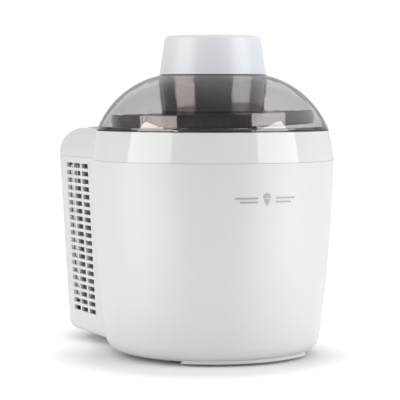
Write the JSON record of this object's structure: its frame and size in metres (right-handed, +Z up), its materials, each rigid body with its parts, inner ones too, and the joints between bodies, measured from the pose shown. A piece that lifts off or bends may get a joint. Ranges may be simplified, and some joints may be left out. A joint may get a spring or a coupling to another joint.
{
  "type": "ice cream maker",
  "caption": "Self-cooling countertop ice cream maker: lift-out bowl in a cooled pot, smoked dome lid with drip tray, top motor unit turning a paddle, and a fan-cooled rear housing.",
  "frame": {"origin": "on the table under the middle of the footprint", "axes": "+Z up, front of the machine towards -Y, rear housing towards +Y"},
  "size_m": [0.2058, 0.2667, 0.27],
  "materials": {
    "gloss_white": "high gloss, moulded",
    "satin_white": "satin, moulded",
    "cap_white": "satin, moulded",
    "smoke_clear": "polished, smoke tinted clear plastic",
    "black_plastic": "fine grain",
    "dark_grey_plastic": "satin",
    "grey_print": "flat printed film",
    "rubber_grey": "matt",
    "seal_black": "matt",
    "aluminium": "brushed",
    "bowl_aluminium": "spun and anodised",
    "steel": "zinc plated",
    "brass": "bright",
    "ceramic": "matt ceramic",
    "foam": "closed-cell rubber foam",
    "black_anodised": "black anodised",
    "board_green": "solder mask",
    "copper_core": "taped winding on a laminated core",
    "capacitor_sleeve": "shrink sleeve",
    "wire_black": "cable jacket",
    "gear_ivory": "acetal",
    "paddle_white": "satin food-grade plastic",
    "rocker_grey": "satin"
  },
  "bodies": {
    "base": {"lower_shell": "satin_white", "upper_shell": "gloss_white", "rear_cover": "satin_white", "base_plate": "satin_white", "rubber_feet": "rubber_grey", "base_screws": "steel", "rear_screws": "steel", "front_emblem": "grey_print", "cooling_pot": "aluminium", "pot_insulation": "foam", "pot_screws": "steel", "cold_block": "aluminium", "peltier_modules": "ceramic", "heat_sink": "black_anodised", "sink_screws": "steel", "fan_shroud": "satin_white", "fan_frame": "black_plastic", "fan_screws": "steel", "power_board": "board_green", "transformer": "copper_core", "capacitors": "capacitor_sleeve", "board_chips": "black_plastic", "board_standoffs": "paddle_white", "power_inlet": "black_plastic", "inlet_pins": "brass", "mains_lead": "wire_black", "peltier_leads": "wire_black", "fan_lead": "wire_black", "switch_housings": "satin_white", "lid_socket": "dark_grey_plastic"},
    "fan": {"fan_rotor": "black_plastic"},
    "cooling_switch": {"cooling_rocker": "rocker_grey"},
    "stirring_switch": {"stirring_rocker": "rocker_grey"},
    "bowl": {"bowl": "bowl_aluminium"},
    "paddle": {"paddle": "paddle_white"},
    "lid": {"lid_dome": "smoke_clear", "drip_tray": "smoke_clear", "lid_seal": "seal_black", "lid_plug": "dark_grey_plastic", "lid_contact_pins": "brass", "lid_wire_duct": "dark_grey_plastic", "well_contacts": "brass"},
    "motor_unit": {"motor_cap": "cap_white", "motor_base": "dark_grey_plastic", "motor_contacts": "brass", "shaft_bush": "brass", "gear_plate": "steel", "plate_screws": "steel", "motor_can": "steel", "idler_pin": "steel"},
    "motor_rotor": {"motor_pinion": "brass", "motor_armature": "copper_core"},
    "idler": {"idler_gear": "gear_ivory"},
    "output": {"output_gear": "gear_ivory", "drive_shaft": "steel"}
  },
  "joints": [
    {"name": "bowl_lift", "type": "slide", "parent": "base", "child": "bowl", "axis": [0, 0, 1], "range_m": [0, 0.12]},
    {"name": "paddle_spin", "type": "hinge", "parent": "bowl", "child": "paddle", "pos_m": [0, -0.03005, 0.14], "axis": [0, 0, 1], "continuous": true},
    {"name": "lid_lift", "type": "slide", "parent": "bowl", "child": "lid", "axis": [0, 0, 1], "range_m": [0, 0.12]},
    {"name": "motor_lift", "type": "slide", "parent": "lid", "child": "motor_unit", "axis": [0, 0, 1], "range_m": [0, 0.08]},
    {"name": "output_spin", "type": "hinge", "parent": "motor_unit", "child": "output", "pos_m": [0, -0.03005, 0.2], "axis": [0, 0, 1], "continuous": true},
    {"name": "idler_spin", "type": "hinge", "parent": "motor_unit", "child": "idler", "pos_m": [0.0224, -0.03005, 0.2], "axis": [0, 0, 1], "continuous": true},
    {"name": "motor_spin", "type": "hinge", "parent": "motor_unit", "child": "motor_rotor", "pos_m": [0.0064, -0.03005, 0.207], "axis": [0, 0, 1], "continuous": true},
    {"name": "fan_spin", "type": "hinge", "parent": "base", "child": "fan", "pos_m": [0, 0.09795, 0.11], "axis": [0, 1, 0], "continuous": true},
    {"name": "cooling_switch_rock", "type": "hinge", "parent": "base", "child": "cooling_switch", "pos_m": [-0.052, 0.09895, 0.1849], "axis": [1, 0, 0], "range_deg": [-16, 0]},
    {"name": "stirring_switch_rock", "type": "hinge", "parent": "base", "child": "stirring_switch", "pos_m": [0.052, 0.09895, 0.1849], "axis": [1, 0, 0], "range_deg": [-16, 0]}
  ],
  "couplings": [
    {"joint": "output_spin", "follows": "paddle_spin", "ratio": 1},
    {"joint": "idler_spin", "follows": "paddle_spin", "ratio": -3.6667},
    {"joint": "motor_spin", "follows": "paddle_spin", "ratio": 11}
  ]
}
